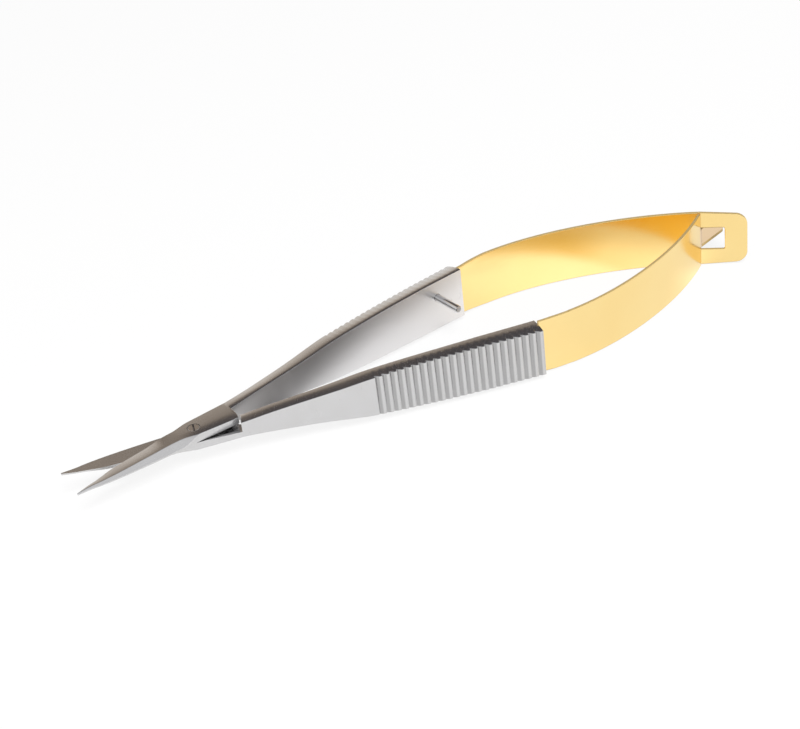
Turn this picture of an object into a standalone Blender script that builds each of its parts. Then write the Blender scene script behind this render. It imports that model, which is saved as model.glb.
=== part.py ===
"""Spring-handle eyelash scissors, lying flat with the blades half open.

Metres, +Z up. The origin is on the pivot axis, at the underside of the lower arm. The blades point
to -X and the springs to +X. Each arm is drawn closed, with its pivot at its own origin and the centre
line of the scissors along X, and is then turned open about the pivot.
"""

import math

import bmesh
import bpy
from mathutils import Matrix, Vector

# Opening: each arm turns this far from the closed position to the rest position.
REST_HALF_ANGLE = math.radians(9.3)

# Pivot: two half-lapped bosses held by a screw.
LAP_THICKNESS = 0.0013
LAP_GAP = 0.0001
BOSS_HALF_WIDTH = 0.0019
BOSS_OUTER_HALF = 0.0022
EAR_RADIUS = 0.0064
EAR_HALF_WIDTH = 0.0026
SHOULDER_CLEARANCE = 0.00025

# Blades, from the pivot to the tip.
BLADE_LENGTH = 0.0191
BLADE_EDGE_HALF = 0.00165
BLADE_SPINE_HALF = 0.0018
BLADE_TIP_SET = 0.00015
BLADE_TIP_WIDTH = 0.0002
BLADE_TIP_THICKNESS = 0.00035
EDGE_BEVEL = 0.0005
SPINE_BEVEL = 0.00055
SPINE_LAND = 0.0002

# Shank and handle.
SHANK_INNER_GAP = 0.00012
SHANK_THICKNESS = 0.0022
HANDLE_LENGTH = 0.0514
HANDLE_WIDTH = 0.0077
HANDLE_INNER_GAP = 0.00133
HANDLE_DROP = 0.0001
GRIP_FRONT_THICKNESS = 0.0027
GRIP_REAR_THICKNESS = 0.0034
EDGE_CHAMFER = 0.00015

# Ribs across the outer face of the grip.
RIB_COUNT = 23
RIB_BLOCK_LENGTH = 0.0254
RIB_DEPTH = 0.0005
RIB_STEP_LENGTH = 0.00008

# Spring leaves.
LEAF_THICKNESS = 0.0005
LEAF_SETBACK = 0.00125
LEAF_ROOT_WIDTH = 0.0088
LEAF_END_WIDTH = 0.0093
LEAF_REACH = 0.0377
LEAF_ROOT_ANGLE = math.radians(11.8)
LEAF_CROSSING_ANGLE = math.radians(38.0)
LEAF_ROOT_PULL = 0.0126
LEAF_END_PULL = 0.0115
LEAF_STATIONS = 32
TANG_LENGTH = 0.0046
TANG_WIDTH = 0.0064
TANG_SHOULDER = 0.0001
POCKET_CLEARANCE = 0.0001

# Interlock at the back: a tongue on the near leaf passes through a window in the far leaf's plate.
PLATE_LENGTH = 0.0073
PLATE_END_WIDTH = 0.0084
PLATE_CORNER = 0.0018
WINDOW_FRONT = 0.0014
WINDOW_REAR = 0.0038
WINDOW_HEIGHT = 0.0037
TONGUE_HEIGHT = 0.0032
TONGUE_SHOULDER = 0.0007
TONGUE_LENGTH = 0.006
TONGUE_ANGLE = math.radians(31.0)
TONGUE_CORNER = 0.0006

# Screw.
SCREW_HEAD_RADIUS = 0.0009
SCREW_HEAD_THICKNESS = 0.0005
SCREW_HEAD_SUNK = 0.00003
SCREW_SHANK_RADIUS = 0.0006
SCREW_REACH = 0.0009
SCREW_SLOT_WIDTH = 0.00025
SCREW_SLOT_DEPTH = 0.00025
RUNNING_CLEARANCE = 0.00006

# Stop pin on the far arm, and the blind hole in the near arm that its end meets when closed.
STOP_PIN_RADIUS = 0.0005
STOP_PIN_REACH = 0.005
STOP_PIN_SEAT = 0.002
STOP_PIN_INSET = 0.0057
STOP_PIN_HEIGHT = 0.0018
STOP_HOLE_DEPTH = 0.00245
STOP_HOLE_CLEARANCE = 0.0003
PIN_DOME = 0.0001

# Flush pins that hold each leaf's tang in the handle.
TANG_PIN_RADIUS = 0.0005
TANG_PIN_LENGTH = 0.0023
TANG_PIN_SUNK = 0.00002
TANG_PIN_INSET = 0.0017
TANG_PIN_PITCH = 0.0019
PRESS_GAP = 0.00003

# Facets of round pieces, and how far a cutter runs past what it cuts.
ROUND_SEGMENTS = 32
EAR_SEGMENTS = 8
OVERRUN = 0.002

# Colours, as linear values.
STEEL_COLOUR = (0.56, 0.56, 0.57, 1.0)
BRIGHT_STEEL_COLOUR = (0.68, 0.68, 0.69, 1.0)
GOLD_COLOUR = (0.90, 0.62, 0.22, 1.0)

# Blade outline: (share of the blade's length from the pivot, share of its half width).
SPINE_SHARES = ((0.0, 1.0), (0.27, 0.97), (0.48, 0.83), (0.66, 0.66), (0.8, 0.46), (0.9, 0.25))
EDGE_SHARES = ((0.16, 1.12), (0.4, 0.96), (0.66, 0.85), (0.8, 0.58), (0.9, 0.34))
BLADE_THICKNESS_SHARES = ((0.0, 1.0), (0.2, 1.0), (0.42, 0.85), (0.66, 0.62), (0.9, 0.38))
BLADE_STATION_SHARES = (0.97, 0.9, 0.8, 0.73, 0.66, 0.57, 0.48, 0.4, 0.34, 0.27, 0.2, 0.16, 0.08)
# How the arm's height grows along the shank: (share of the way to full height, share of the growth).
FLARE_SHARES = (
    (0.0, 0.0),
    (0.04, 0.05),
    (0.1, 0.15),
    (0.21, 0.36),
    (0.38, 0.6),
    (0.52, 0.74),
    (0.65, 0.86),
    (0.79, 0.94),
    (1.0, 1.0),
)
FLARE_LENGTH = 0.036
# Outline of one rib: (share of the pitch, share of the depth below the crest).
RIB_SHARES = ((0.12, 0.85), (0.26, 0.22), (0.38, 0.0), (0.62, 0.0), (0.74, 0.22), (0.88, 0.85))


def between(table, x):
    """Value of a table of (x, value) pairs at x, straight between its rows."""
    rows = sorted(table)
    if x <= rows[0][0]:
        return rows[0][1]
    for (x0, y0), (x1, y1) in zip(rows, rows[1:]):
        if x <= x1:
            return y0 + (y1 - y0) * (x - x0) / (x1 - x0)
    return rows[-1][1]


def clear_scene():
    for obj in list(bpy.data.objects):
        bpy.data.objects.remove(obj, do_unlink=True)


def material(name, colour, metallic, roughness):
    made = bpy.data.materials.new(name)
    made.use_nodes = True
    shader = made.node_tree.nodes["Principled BSDF"]
    shader.inputs["Base Color"].default_value = colour
    shader.inputs["Metallic"].default_value = metallic
    shader.inputs["Roughness"].default_value = roughness
    return made


def add_object(name, mesh, parent, finish=None):
    obj = bpy.data.objects.new(name, mesh)
    bpy.context.scene.collection.objects.link(obj)
    obj.parent = parent
    if finish:
        mesh.materials.append(finish)
    return obj


def add_empty(name, parent, location, rotation):
    empty = bpy.data.objects.new(name, None)
    bpy.context.scene.collection.objects.link(empty)
    empty.parent = parent
    empty.location = location
    empty.rotation_euler = rotation
    return empty


def finish_mesh(bm, name):
    bmesh.ops.recalc_face_normals(bm, faces=bm.faces)
    mesh = bpy.data.meshes.new(name)
    bm.to_mesh(mesh)
    bm.free()
    return mesh


def loft(name, rings):
    """A closed mesh through rings with the same number of points, capped at both ends."""
    bm = bmesh.new()
    made = [[bm.verts.new(point) for point in ring] for ring in rings]
    count = len(made[0])
    for first, second in zip(made, made[1:]):
        for i in range(count):
            j = (i + 1) % count
            bm.faces.new((first[i], first[j], second[j], second[i]))
    bm.faces.new(made[0][::-1])
    bm.faces.new(made[-1])
    return finish_mesh(bm, name)


def prism(name, outline, low, high):
    """A plan outline, as (x, y) pairs, raised from low to high."""
    rings = [[(x, y, z) for x, y in outline] for z in (low, high)]
    return loft(name, rings)


def turned(name, profile):
    """A round piece about Z from (radius, height) pairs, bottom to top."""
    rings = []
    for radius, height in profile:
        ring = []
        for i in range(ROUND_SEGMENTS):
            turn = math.tau * i / ROUND_SEGMENTS
            ring.append((radius * math.cos(turn), radius * math.sin(turn), height))
        rings.append(ring)
    mesh = loft(name, rings)
    mesh.shade_smooth()
    mesh.set_sharp_from_angle(angle=math.radians(40))
    return mesh


def cut(target, cutter):
    """Cuts one object from another and keeps the cutter as a wire guide."""
    cutter.hide_render = True
    cutter.display_type = "WIRE"
    step = target.modifiers.new("cut_" + cutter.name, "BOOLEAN")
    step.operation = "DIFFERENCE"
    step.solver = "EXACT"
    step.object = cutter


def point_to_minus_y(obj):
    obj.rotation_euler = (math.radians(90), 0, 0)


# Plan of an arm, in its own closed frame: the handle lies on the +Y side of the centre line.


def grip_start():
    return HANDLE_LENGTH - RIB_BLOCK_LENGTH


def shoulder_radius():
    return EAR_RADIUS + SHOULDER_CLEARANCE


def inner_face(x):
    """Distance of the handle's inner face from the centre line."""
    parallel_from = HANDLE_LENGTH - RIB_BLOCK_LENGTH / 2
    rows = ((shoulder_radius(), SHANK_INNER_GAP), (parallel_from, HANDLE_INNER_GAP))
    return between(rows, x)


def ear_side(x):
    """The side of the boss that laps over the other arm, round at its rear end."""
    corner = math.sqrt(EAR_RADIUS**2 - EAR_HALF_WIDTH**2)
    if x <= corner:
        return -between(((0.0, BOSS_HALF_WIDTH), (corner, EAR_HALF_WIDTH)), x)
    if x < EAR_RADIUS:
        return -math.sqrt(EAR_RADIUS**2 - x**2)
    return between(((EAR_RADIUS, 0.0), (shoulder_radius(), inner_face(x))), x)


def low_side(x):
    """Lower plan outline: the blade's spine, the boss's ear, then the handle's inner face."""
    if x >= shoulder_radius():
        return inner_face(x)
    if x >= 0:
        return ear_side(x)
    share = -x / BLADE_LENGTH
    tip = (1.0, (BLADE_TIP_WIDTH / 2 + BLADE_TIP_SET) / BLADE_SPINE_HALF)
    boss = (0.0, BOSS_HALF_WIDTH / BLADE_SPINE_HALF)
    return -BLADE_SPINE_HALF * between(SPINE_SHARES[1:] + (tip, boss), share)


def grip_thickness(x):
    rows = ((grip_start(), GRIP_FRONT_THICKNESS), (HANDLE_LENGTH, GRIP_REAR_THICKNESS))
    return between(rows, x)


def high_side(x):
    """Upper plan outline, without ribs: the cutting edge, the boss, the shank's outer face."""
    if x >= 0:
        shank = SHANK_INNER_GAP + SHANK_THICKNESS
        front = inner_face(grip_start()) + SHANK_THICKNESS
        return between(((0.0, BOSS_OUTER_HALF), (EAR_RADIUS, shank), (grip_start(), front)), x)
    share = -x / BLADE_LENGTH
    tip = (1.0, (BLADE_TIP_WIDTH / 2 - BLADE_TIP_SET) / BLADE_EDGE_HALF)
    boss = (0.0, BOSS_OUTER_HALF / BLADE_EDGE_HALF)
    return BLADE_EDGE_HALF * between(EDGE_SHARES + (tip, boss), share)


def arm_height(x):
    """Full height of the arm, and how far its middle has dropped from the lap, at x."""
    share = (x - shoulder_radius()) / FLARE_LENGTH
    growth = between(FLARE_SHARES, share)
    return 2 * LAP_THICKNESS + (HANDLE_WIDTH - 2 * LAP_THICKNESS) * growth, growth


def blade_thickness(x):
    share = -x / BLADE_LENGTH
    tip = (1.0, BLADE_TIP_THICKNESS / LAP_THICKNESS)
    return LAP_THICKNESS * between(BLADE_THICKNESS_SHARES + (tip,), share)


def ring(x, low, high, bottom, top, bevels):
    """Eight points round a section. bevels: (width, height) at the top of each side."""
    (low_wide, low_tall), (high_wide, high_tall) = bevels
    c = min(EDGE_CHAMFER, (high - low) / 4)
    return [
        (x, low + c, bottom),
        (x, high - c, bottom),
        (x, high, bottom + c),
        (x, high, top - high_tall),
        (x, high - high_wide, top),
        (x, low + low_wide, top),
        (x, low, top - low_tall),
        (x, low, bottom + c),
    ]


def blade_ring(x):
    """Section of the blade: its bottom is cut away later, at the lap."""
    low, high, top = low_side(x), high_side(x), blade_thickness(x)
    wide = high - low
    share = min(1.0, -x / (BLADE_LENGTH * EDGE_SHARES[0][0]))
    edge_wide = min(EDGE_CHAMFER + (EDGE_BEVEL - EDGE_CHAMFER) * share, wide / 3)
    edge_tall = min(EDGE_CHAMFER + (top - EDGE_CHAMFER) * share, top)
    spine_wide = min(EDGE_CHAMFER + (SPINE_BEVEL - EDGE_CHAMFER) * share, wide / 3)
    spine_tall = EDGE_CHAMFER + (max(top - SPINE_LAND, top / 2) - EDGE_CHAMFER) * share
    return ring(x, low, high, -LAP_THICKNESS, top, ((spine_wide, spine_tall), (edge_wide, edge_tall)))


def body_ring(x, high, drop):
    height, growth = arm_height(x)
    middle = -drop * growth
    corner = (EDGE_CHAMFER, EDGE_CHAMFER)
    return ring(x, low_side(x), high, middle - height / 2, middle + height / 2, (corner, corner))


def boss_stations():
    corner = math.sqrt(EAR_RADIUS**2 - EAR_HALF_WIDTH**2)
    start = math.atan2(EAR_HALF_WIDTH, corner)
    arc = [EAR_RADIUS * math.cos(start * (1 - i / EAR_SEGMENTS)) for i in range(EAR_SEGMENTS + 1)]
    return [0.0, corner / 2] + arc + [shoulder_radius()]


def shank_stations():
    reach = grip_start() - RIB_STEP_LENGTH
    flare = [shoulder_radius() + share * FLARE_LENGTH for share, _ in FLARE_SHARES[1:]]
    return [x for x in flare if x < reach] + [reach]


def rib_rings(drop):
    rings = []
    pitch = RIB_BLOCK_LENGTH / RIB_COUNT
    for rib in range(RIB_COUNT):
        for share, depth in RIB_SHARES:
            x = grip_start() + pitch * (rib + share)
            high = inner_face(x) + grip_thickness(x) - depth * RIB_DEPTH
            rings.append(body_ring(x, high, drop))
    return rings


def arm_mesh(name, drop):
    """Blade, boss, shank and ribbed grip in one. drop is how far the handle hangs below the lap."""
    rings = [blade_ring(-BLADE_LENGTH)]
    rings += [blade_ring(-share * BLADE_LENGTH) for share in BLADE_STATION_SHARES]
    rings += [body_ring(x, high_side(x), drop) for x in boss_stations() + shank_stations()]
    face = inner_face(grip_start()) + GRIP_FRONT_THICKNESS - RIB_DEPTH
    rings.append(body_ring(grip_start(), face, drop))
    rings += rib_rings(drop)
    rear = HANDLE_INNER_GAP + GRIP_REAR_THICKNESS - RIB_DEPTH
    rings.append(body_ring(HANDLE_LENGTH, rear, drop))
    return loft(name, rings)


def lap_outline():
    """Plan of what is milled off at the lap: all of the blade side, and a round shoulder behind it."""
    radius = shoulder_radius()
    reach = HANDLE_WIDTH
    outline = [(-BLADE_LENGTH - OVERRUN, reach), (-BLADE_LENGTH - OVERRUN, -reach), (0.0, -reach)]
    for i in range(ROUND_SEGMENTS + 1):
        turn = math.pi * (i / ROUND_SEGMENTS - 1 / 2)
        outline.append((radius * math.cos(turn), radius * math.sin(turn)))
    return outline + [(0.0, reach)]


def cutter_object(name, mesh, parent, location=(0, 0, 0)):
    obj = add_object(name, mesh, parent)
    obj.location = location
    return obj


def face_hole(arm, name, station, height, radius, depth):
    """A blind round hole bored square into the handle's inner face."""
    mesh = turned(name, ((radius, -OVERRUN), (radius, depth)))
    hole = cutter_object(name, mesh, arm, (station, inner_face(station), height))
    hole.rotation_euler = (math.radians(-90), 0, 0)
    cut(arm, hole)


def leaf_middle(x):
    """Distance of the leaf's middle from the centre line, inside the handle."""
    return inner_face(x) + LEAF_SETBACK


def tang_pocket(arm, name, drop):
    """The pocket in the rear end of the handle that the leaf's tang sits in."""
    half = LEAF_THICKNESS / 2 + POCKET_CLEARANCE
    front = HANDLE_LENGTH - TANG_LENGTH - POCKET_CLEARANCE
    high = TANG_WIDTH / 2 + POCKET_CLEARANCE
    middle = leaf_middle(HANDLE_LENGTH)
    outline = [
        (front, middle - half),
        (HANDLE_LENGTH + OVERRUN, middle - half),
        (HANDLE_LENGTH + OVERRUN, middle + half),
        (front, middle + half),
    ]
    pocket = cutter_object(name, prism(name, outline, -drop - high, -drop + high), arm)
    cut(arm, pocket)


def tang_pin_stations():
    rear = HANDLE_LENGTH - TANG_PIN_INSET
    return {"front": rear - TANG_PIN_PITCH, "rear": rear}


def make_arm(name, pivot, drop, steel):
    arm = add_object(name, arm_mesh(name, drop), pivot, steel)
    lap = prism(name + "_lap", lap_outline(), -HANDLE_WIDTH, LAP_GAP / 2)
    cut(arm, cutter_object(name + "_lap", lap, arm))
    tang_pocket(arm, name + "_pocket", drop)
    for end, station in tang_pin_stations().items():
        depth = TANG_PIN_LENGTH + TANG_PIN_SUNK + PRESS_GAP
        face_hole(arm, f"{name}_hole_{end}", station, -drop, TANG_PIN_RADIUS + PRESS_GAP, depth)
    return arm


def make_tang_pins(side, arm, drop, steel):
    for end, station in tang_pin_stations().items():
        name = f"{side}_leaf_pin_{end}"
        mesh = turned(name, ((TANG_PIN_RADIUS, 0), (TANG_PIN_RADIUS, TANG_PIN_LENGTH)))
        pin = add_object(name, mesh, arm, steel)
        pin.location = (station, inner_face(station) + TANG_PIN_SUNK, -drop)
        pin.rotation_euler = (math.radians(-90), 0, 0)


def stop_pin_station():
    return HANDLE_LENGTH - STOP_PIN_INSET


def make_stop_pin(arm, steel):
    """A round pin with a domed end, pressed into the far handle's inner face."""
    radius, reach, station = STOP_PIN_RADIUS, STOP_PIN_REACH, stop_pin_station()
    profile = (
        (radius, -STOP_PIN_SEAT),
        (radius, reach - PIN_DOME),
        (radius - PIN_DOME / 2, reach - PIN_DOME / 4),
        (radius - PIN_DOME, reach),
    )
    pin = add_object("stop_pin", turned("stop_pin", profile), arm, steel)
    pin.location = (station, inner_face(station), STOP_PIN_HEIGHT - HANDLE_DROP)
    point_to_minus_y(pin)
    seat = (radius + PRESS_GAP, STOP_PIN_SEAT + PRESS_GAP)
    face_hole(arm, "far_arm_stop_seat", station, STOP_PIN_HEIGHT - HANDLE_DROP, *seat)


def make_stop_hole(arm):
    """The near arm lies upside down in its own frame, so heights change sign."""
    height = HANDLE_DROP - STOP_PIN_HEIGHT
    radius = STOP_PIN_RADIUS + STOP_HOLE_CLEARANCE
    face_hole(arm, "near_arm_stop_hole", stop_pin_station(), height, radius, STOP_HOLE_DEPTH)


def make_screw(pivot, far_arm, near_arm, steel):
    """Cheese-head screw: it turns in the upper boss and is fast in the lower one."""
    top = LAP_THICKNESS - SCREW_HEAD_SUNK
    under = top - SCREW_HEAD_THICKNESS
    profile = (
        (SCREW_SHANK_RADIUS, -SCREW_REACH),
        (SCREW_SHANK_RADIUS, under),
        (SCREW_HEAD_RADIUS, under),
        (SCREW_HEAD_RADIUS, top - SCREW_HEAD_SUNK),
        (SCREW_HEAD_RADIUS - SCREW_HEAD_SUNK, top),
    )
    screw = add_object("pivot_screw", turned("pivot_screw", profile), pivot, steel)
    half, deep = SCREW_SLOT_WIDTH / 2, SCREW_SLOT_DEPTH
    long = SCREW_HEAD_RADIUS + OVERRUN
    slot_outline = ((-half, -long), (half, -long), (half, long), (-half, long))
    slot_mesh = prism("screw_slot", slot_outline, top - deep, top + OVERRUN)
    cut(screw, cutter_object("screw_slot", slot_mesh, pivot))
    running = RUNNING_CLEARANCE
    bore = (
        (SCREW_SHANK_RADIUS + running, -OVERRUN),
        (SCREW_SHANK_RADIUS + running, under - running),
        (SCREW_HEAD_RADIUS + running, under - running),
        (SCREW_HEAD_RADIUS + running, LAP_THICKNESS + OVERRUN),
    )
    cut(far_arm, cutter_object("upper_bore", turned("upper_bore", bore), pivot))
    fast = SCREW_SHANK_RADIUS + PRESS_GAP
    thread = ((fast, -SCREW_REACH - PRESS_GAP), (fast, OVERRUN))
    cut(near_arm, cutter_object("lower_bore", turned("lower_bore", thread), pivot))


# Leaves, in plan at rest: the far leaf lies on the +Y side, the near leaf is turned over to -Y.


def root_point():
    """Where the leaf leaves the handle, at rest."""
    turn = Matrix.Rotation(REST_HALF_ANGLE, 2)
    return turn @ Vector((HANDLE_LENGTH, leaf_middle(HANDLE_LENGTH)))


def heading(angle):
    return Vector((math.cos(angle), math.sin(angle)))


def leaf_line():
    """Points and headings along the middle of the leaf, from its root to the crossing."""
    start = root_point()
    end = Vector((start.x + LEAF_REACH, 0.0))
    pulls = (
        start,
        start + heading(LEAF_ROOT_ANGLE) * LEAF_ROOT_PULL,
        end - heading(-LEAF_CROSSING_ANGLE) * LEAF_END_PULL,
        end,
    )
    line = []
    for i in range(LEAF_STATIONS + 1):
        t = i / LEAF_STATIONS
        weights = ((1 - t) ** 3, 3 * t * (1 - t) ** 2, 3 * t**2 * (1 - t), t**3)
        slopes = (-3 * (1 - t) ** 2, 3 * (1 - t) * (1 - 3 * t), 3 * t * (2 - 3 * t), 3 * t**2)
        point = sum((w * p for w, p in zip(weights, pulls)), Vector((0.0, 0.0)))
        along = sum((w * p for w, p in zip(slopes, pulls)), Vector((0.0, 0.0)))
        line.append((point, along.normalized()))
    return line


def leaf_ring(point, along, width):
    """Section of the strip: its thickness lies across the heading, its width along Z."""
    across = Vector((-along.y, along.x)) * LEAF_THICKNESS / 2
    half = width / 2
    near, far = point - across, point + across
    return [(near.x, near.y, -half), (far.x, far.y, -half), (far.x, far.y, half), (near.x, near.y, half)]


def tang_rings():
    """The narrow root inside the handle, and the small shoulder where the strip widens."""
    along = heading(REST_HALF_ANGLE)
    root = root_point()
    rear = root + along * POCKET_CLEARANCE
    return [
        leaf_ring(root - along * TANG_LENGTH, along, TANG_WIDTH),
        leaf_ring(rear, along, TANG_WIDTH),
        leaf_ring(rear + along * TANG_SHOULDER, along, LEAF_ROOT_WIDTH),
    ]


def strip_rings(line):
    """The free strip, which widens evenly towards the crossing."""
    rings = []
    for i, (point, along) in enumerate(line):
        width = LEAF_ROOT_WIDTH + (LEAF_END_WIDTH - LEAF_ROOT_WIDTH) * i / LEAF_STATIONS
        rings.append(leaf_ring(point, along, width))
    return rings


def clear_of_root(line):
    """The first stations give way to the tang's shoulder."""
    reach = 2 * (POCKET_CLEARANCE + TANG_SHOULDER)
    return [(p, a) for p, a in line if (p - root_point()).length > reach]


def rounded_end(point, along, start, length, widths, corner):
    """Stations of a flat end that narrows evenly and has round corners."""
    width, end_width = widths
    stations = [(start, width)]
    for i in range(EAR_SEGMENTS + 1):
        turn = math.pi / 2 * i / EAR_SEGMENTS
        reach = length - corner + corner * math.sin(turn)
        full = width + (end_width - width) * reach / length
        stations.append((reach, full - 2 * corner * (1 - math.cos(turn))))
    return [leaf_ring(point + along * s, along, w) for s, w in stations]


def far_leaf_mesh():
    line = leaf_line()
    point, along = line[-1]
    rings = tang_rings() + strip_rings(clear_of_root(line))
    widths = (LEAF_END_WIDTH, PLATE_END_WIDTH)
    rings += rounded_end(point, along, PLATE_CORNER, PLATE_LENGTH, widths, PLATE_CORNER)
    return loft("far_leaf", rings)


def near_leaf_mesh():
    line = leaf_line()
    end = line[-1][0]
    body = [(p, a) for p, a in clear_of_root(line) if (p - end).length > TONGUE_SHOULDER + TANG_SHOULDER]
    rings = tang_rings() + strip_rings(body)
    along = line[-1][1]
    shoulder = end - along * TONGUE_SHOULDER
    bent = heading(-TONGUE_ANGLE)
    rings.append(leaf_ring(shoulder, along, LEAF_END_WIDTH))
    rings.append(leaf_ring(shoulder + along * TANG_SHOULDER, along, TONGUE_HEIGHT))
    widths = (TONGUE_HEIGHT, TONGUE_HEIGHT)
    rings += rounded_end(end, bent, 0.0, TONGUE_LENGTH, widths, TONGUE_CORNER)
    return loft("near_leaf", rings)


def cut_window(leaf, frame):
    point, along = leaf_line()[-1]
    across = Vector((-along.y, along.x)) * OVERRUN
    front, rear = point - along * WINDOW_FRONT, point + along * WINDOW_REAR
    corners = (front - across, rear - across, rear + across, front + across)
    outline = [(corner.x, corner.y) for corner in corners]
    mesh = prism("leaf_window", outline, -WINDOW_HEIGHT / 2, WINDOW_HEIGHT / 2)
    cut(leaf, cutter_object("leaf_window", mesh, frame))


def cut_tang_holes(leaf, arm_pivot, side, drop):
    """Holes in the tang for the flush pins, bored in the arm's own frame."""
    for end, station in tang_pin_stations().items():
        name = f"{side}_tang_hole_{end}"
        radius = TANG_PIN_RADIUS + PRESS_GAP
        mesh = turned(name, ((radius, -OVERRUN), (radius, OVERRUN)))
        hole = cutter_object(name, mesh, arm_pivot, (station, leaf_middle(station), -drop))
        hole.rotation_euler = (math.radians(-90), 0, 0)
        cut(leaf, hole)


def smooth_strip(mesh):
    mesh.shade_smooth()
    mesh.set_sharp_from_angle(angle=math.radians(30))


def make_leaf(name, mesh, frame, gold):
    """The leaf's origin is at its root, where it flexes."""
    root = root_point()
    mesh.transform(Matrix.Translation((-root.x, -root.y, 0)))
    smooth_strip(mesh)
    leaf = add_object(name, mesh, frame, gold)
    leaf.location = (root.x, root.y, 0)
    return leaf


def main():
    clear_scene()
    steel = material("satin_steel", STEEL_COLOUR, 1.0, 0.35)
    bright = material("polished_steel", BRIGHT_STEEL_COLOUR, 1.0, 0.18)
    gold = material("gold_plate", GOLD_COLOUR, 1.0, 0.22)

    lap = (0, 0, LAP_THICKNESS)
    pivot = add_empty("pivot", None, lap, (0, 0, 0))
    far_pivot = add_empty("far_pivot", pivot, (0, 0, 0), (0, 0, REST_HALF_ANGLE))
    near_pivot = add_empty("near_pivot", pivot, (0, 0, 0), (math.pi, 0, -REST_HALF_ANGLE))
    far_arm = make_arm("far_arm", far_pivot, HANDLE_DROP, steel)
    near_arm = make_arm("near_arm", near_pivot, -HANDLE_DROP, steel)
    make_screw(pivot, far_arm, near_arm, bright)
    make_stop_pin(far_arm, bright)
    make_stop_hole(near_arm)
    make_tang_pins("far", far_arm, HANDLE_DROP, steel)
    make_tang_pins("near", near_arm, -HANDLE_DROP, steel)

    far_side = add_empty("far_side", pivot, (0, 0, -HANDLE_DROP), (0, 0, 0))
    near_side = add_empty("near_side", pivot, (0, 0, -HANDLE_DROP), (math.pi, 0, 0))
    far_leaf = make_leaf("far_leaf", far_leaf_mesh(), far_side, gold)
    near_leaf = make_leaf("near_leaf", near_leaf_mesh(), near_side, gold)
    cut_window(far_leaf, far_side)
    cut_tang_holes(far_leaf, far_pivot, "far", HANDLE_DROP)
    cut_tang_holes(near_leaf, near_pivot, "near", -HANDLE_DROP)


main()
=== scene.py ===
import math

import bpy
import bmesh
from mathutils import Matrix, Vector


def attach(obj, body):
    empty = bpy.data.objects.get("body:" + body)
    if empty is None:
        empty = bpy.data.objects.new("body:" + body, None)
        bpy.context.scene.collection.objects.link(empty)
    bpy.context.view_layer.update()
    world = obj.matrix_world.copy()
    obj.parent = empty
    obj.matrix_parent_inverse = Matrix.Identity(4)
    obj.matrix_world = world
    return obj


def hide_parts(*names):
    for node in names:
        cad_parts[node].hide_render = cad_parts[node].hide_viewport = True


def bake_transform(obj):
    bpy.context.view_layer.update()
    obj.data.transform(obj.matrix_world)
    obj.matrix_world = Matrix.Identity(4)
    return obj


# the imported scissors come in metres; the sizes of their pieces below are in millimetres
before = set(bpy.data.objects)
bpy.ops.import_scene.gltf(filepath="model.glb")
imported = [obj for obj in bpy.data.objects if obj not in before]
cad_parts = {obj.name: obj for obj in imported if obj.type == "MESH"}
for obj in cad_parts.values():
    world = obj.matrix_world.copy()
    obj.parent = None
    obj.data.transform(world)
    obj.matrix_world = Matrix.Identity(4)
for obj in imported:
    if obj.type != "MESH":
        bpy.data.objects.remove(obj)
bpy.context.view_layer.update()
millimetre = 0.001
lapHeight = 1.3  # thickness of each arm at the pivot
restAngle = 9.3  # from the middle line to each handle at rest, in degrees
restHalfAngle = math.radians(restAngle)
overrun = 2  # how far a cutter reaches past the metal
print("frame loaded")


def smoothBetween(rows, x):
    # value of (x, value) rows at x, on a curve with no overshoot
    if x <= rows[0][0]:
        return rows[0][1]
    if x >= rows[-1][0]:
        return rows[-1][1]
    steps = [(b[1] - a[1]) / (b[0] - a[0]) for a, b in zip(rows, rows[1:])]
    slopes = [steps[0]]
    for before, after in zip(steps, steps[1:]):
        slopes.append(0.0 if before * after <= 0 else 2 * before * after / (before + after))
    slopes.append(steps[-1])
    for i in range(len(steps)):
        (x0, y0), (x1, y1) = rows[i], rows[i + 1]
        if x <= x1:
            wide = x1 - x0
            t = (x - x0) / wide
            a = (1 + 2 * t) * (1 - t) ** 2 * y0 + t * (1 - t) ** 2 * wide * slopes[i]
            return a + t * t * (3 - 2 * t) * y1 - t * t * (1 - t) * wide * slopes[i + 1]


def straightBetween(rows, x):
    # the same on straight lines
    if x <= rows[0][0]:
        return rows[0][1]
    for (x0, y0), (x1, y1) in zip(rows, rows[1:]):
        if x <= x1:
            return y0 + (y1 - y0) * (x - x0) / (x1 - x0)
    return rows[-1][1]


def spread(start, end, count):
    return [start + (end - start) * i / count for i in range(count + 1)]


def closedMesh(name, rings):
    # skin through rings with the same number of points, capped at both ends
    bm = bmesh.new()
    made = [[bm.verts.new(point) for point in ring] for ring in rings]
    count = len(made[0])
    for first, second in zip(made, made[1:]):
        for i in range(count):
            j = (i + 1) % count
            bm.faces.new((first[i], first[j], second[j], second[i]))
    bm.faces.new(made[0][::-1])
    bm.faces.new(made[-1])
    bmesh.ops.recalc_face_normals(bm, faces=bm.faces)
    mesh = bpy.data.meshes.new(name)
    bm.to_mesh(mesh)
    bm.free()
    return mesh


def turnedMesh(name, profile, segments):
    # round piece about Z from (radius, height) pairs
    rings = []
    for radius, height in profile:
        turns = [math.tau * i / segments for i in range(segments)]
        rings.append([(radius * math.cos(a), radius * math.sin(a), height) for a in turns])
    return closedMesh(name, rings)


def addPiece(name, mesh):
    piece = bpy.data.objects.new(name, mesh)
    bpy.context.scene.collection.objects.link(piece)
    return piece


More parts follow.
